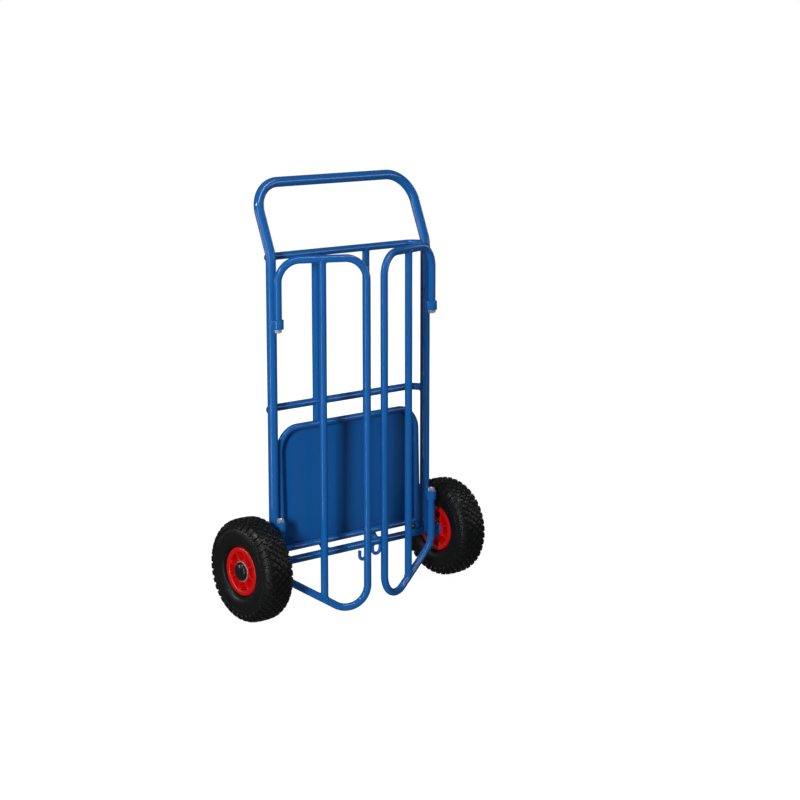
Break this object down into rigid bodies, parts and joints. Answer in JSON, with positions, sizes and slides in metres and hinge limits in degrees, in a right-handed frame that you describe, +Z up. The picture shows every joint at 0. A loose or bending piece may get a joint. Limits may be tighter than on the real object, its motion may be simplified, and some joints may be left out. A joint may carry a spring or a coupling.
{
  "type": "hand truck",
  "caption": "Tubular two-wheeled hand truck with a leaning bow handle, swinging side wings that double as feet, and a fold-up toe plate.",
  "frame": {"origin": "on the floor, under the middle of the axle", "axes": "+Z up, the axle along X, the front with the wings and toe plate towards -Y, the handle leans towards +Y"},
  "size_m": [0.724, 0.26, 1.0794],
  "materials": {
    "blue_paint": "semi-gloss powder coat",
    "red_plastic": "moulded, glossy",
    "black_rubber": "matt rubber",
    "black_plastic": "glossy",
    "white_nylon": "matt",
    "zinc": "bright zinc plate"
  },
  "bodies": {
    "frame": {"main_frame_tube": "blue_paint", "upper_crossbar": "blue_paint", "middle_crossbar": "blue_paint", "centre_bar_upper_left": "blue_paint", "centre_bar_upper_right": "blue_paint", "centre_bar_lower_left": "blue_paint", "centre_bar_lower_right": "blue_paint", "axle": "blue_paint", "axle_shoulder_left": "blue_paint", "axle_shoulder_right": "blue_paint", "axle_hook": "blue_paint", "axle_loop": "blue_paint", "wing_collar_upper_left": "blue_paint", "wing_collar_lower_left": "blue_paint", "wing_collar_upper_right": "blue_paint", "wing_collar_lower_right": "blue_paint", "plate_bracket_left": "blue_paint", "plate_bracket_right": "blue_paint", "plate_stud_left": "zinc", "plate_stud_right": "zinc", "plate_nut_left": "black_plastic", "plate_nut_right": "black_plastic", "wheel_washer_left": "zinc", "wheel_washer_right": "zinc", "wheel_clip_left": "zinc", "wheel_clip_right": "zinc", "hub_cap_left": "black_plastic", "hub_cap_right": "black_plastic"},
    "wing_left": {"wing_tube_left": "blue_paint", "wing_bar_left": "blue_paint", "wing_pin_upper_left": "zinc", "wing_pin_lower_left": "zinc", "wing_nut_upper_left": "zinc", "wing_nut_lower_left": "zinc"},
    "wing_right": {"wing_tube_right": "blue_paint", "wing_bar_right": "blue_paint", "wing_pin_upper_right": "zinc", "wing_pin_lower_right": "zinc", "wing_nut_upper_right": "zinc", "wing_nut_lower_right": "zinc"},
    "toe_plate": {"plate_frame_tube": "blue_paint", "plate_rear_tube": "blue_paint", "plate_sheet": "blue_paint"},
    "wheel_left": {"tyre_left": "black_rubber", "rim_left": "red_plastic", "wheel_bush_outer_left": "white_nylon", "wheel_bush_inner_left": "white_nylon"},
    "wheel_right": {"tyre_right": "black_rubber", "rim_right": "red_plastic", "wheel_bush_outer_right": "white_nylon", "wheel_bush_inner_right": "white_nylon"}
  },
  "joints": [
    {"name": "wing_left_swing", "type": "hinge", "parent": "frame", "child": "wing_left", "pos_m": [-0.249, -0.0263, 0.482], "axis": [0, 0, -1], "range_deg": [-23.7, 81.3]},
    {"name": "wing_right_swing", "type": "hinge", "parent": "frame", "child": "wing_right", "pos_m": [0.249, -0.0263, 0.482], "axis": [0, 0, 1], "range_deg": [-16.1, 88.9]},
    {"name": "toe_plate_tilt", "type": "hinge", "parent": "frame", "child": "toe_plate", "pos_m": [0, 0.0015, 0.148], "axis": [1, 0, 0], "range_deg": [0, 3]},
    {"name": "wheel_left_spin", "type": "hinge", "parent": "frame", "child": "wheel_left", "pos_m": [-0.3195, 0, 0.13], "axis": [1, 0, 0], "continuous": true},
    {"name": "wheel_right_spin", "type": "hinge", "parent": "frame", "child": "wheel_right", "pos_m": [0.3195, 0, 0.13], "axis": [1, 0, 0], "continuous": true}
  ]
}
